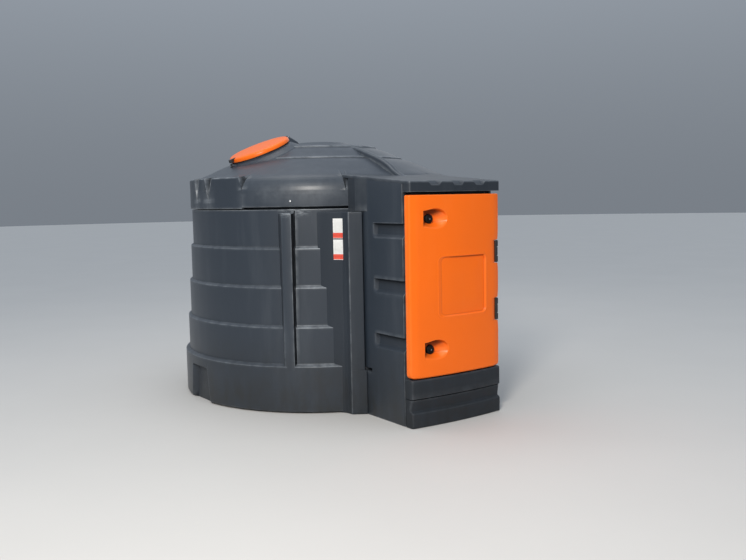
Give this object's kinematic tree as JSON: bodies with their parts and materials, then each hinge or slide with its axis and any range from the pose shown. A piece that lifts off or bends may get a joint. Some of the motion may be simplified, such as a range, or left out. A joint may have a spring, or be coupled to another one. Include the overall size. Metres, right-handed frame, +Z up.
{
  "type": "bunded fuel storage tank",
  "caption": "Round double-walled fuel tank of moulded plastic with a front cabinet door and a tilted manhole lid.",
  "frame": {"origin": "centre of the round tank's foot, on the ground", "axes": "+Z up, the cabinet door faces -Y, its hinges are on the +X side"},
  "size_m": [2.476, 3.077, 2.1817],
  "materials": {
    "shell": "satin",
    "orange": "satin",
    "black": "satin",
    "steel": "satin",
    "inner": "matt"
  },
  "bodies": {
    "tank": {"right_wall": "shell", "rear_wall": "shell", "left_wall": "shell", "front_wall": "shell", "bund_floor": "shell", "left_rib": "shell", "right_rib": "shell", "left_front_panel": "shell", "right_front_panel": "shell", "inner_tank_floor": "inner", "inner_tank_right": "inner", "inner_tank_rear": "inner", "inner_tank_left": "inner", "inner_tank_front": "inner", "upper_shell_right": "shell", "upper_shell_rear": "shell", "upper_shell_left": "shell", "upper_shell_front": "shell", "dome": "shell", "front_ridge": "shell", "manhole_neck": "shell", "manhole_collar": "shell", "lid_hinge_bracket": "shell", "hasp_staple": "black", "cabinet_left_side": "shell", "cabinet_right_side": "shell", "cabinet_floor": "shell", "plinth_front": "shell", "cabinet_roof": "shell", "fascia": "shell", "left_roof_cheek": "shell", "right_roof_cheek": "shell", "door_frame": "shell", "lower_hinge_bracket": "black", "upper_hinge_bracket": "black"},
    "door": {"door_panel": "orange", "lower_hinge_leaf": "black", "upper_hinge_leaf": "black", "lower_latch_plate": "black", "upper_latch_plate": "black"},
    "lower_lock": {"lower_latch": "steel"},
    "upper_lock": {"upper_latch": "steel"},
    "lid": {"manhole_lid": "orange", "lid_hinge_leaf": "black", "lid_hasp": "black"}
  },
  "joints": [
    {"name": "door_hinge", "type": "hinge", "parent": "tank", "child": "door", "pos_m": [0.408, -1.79, 1], "axis": [0, 0, 1], "range_deg": [0, 110]},
    {"name": "lower_lock_turn", "type": "hinge", "parent": "door", "child": "lower_lock", "pos_m": [-0.235, -1.78, 0.546], "axis": [0, 1, 0], "range_deg": [0, 90]},
    {"name": "upper_lock_turn", "type": "hinge", "parent": "door", "child": "upper_lock", "pos_m": [-0.235, -1.78, 1.479], "axis": [0, 1, 0], "range_deg": [0, 90]},
    {"name": "lid_hinge", "type": "hinge", "parent": "tank", "child": "lid", "pos_m": [-0.35177, 0, 2.16545], "axis": [0, 1, 0], "range_deg": [0, 105]}
  ]
}
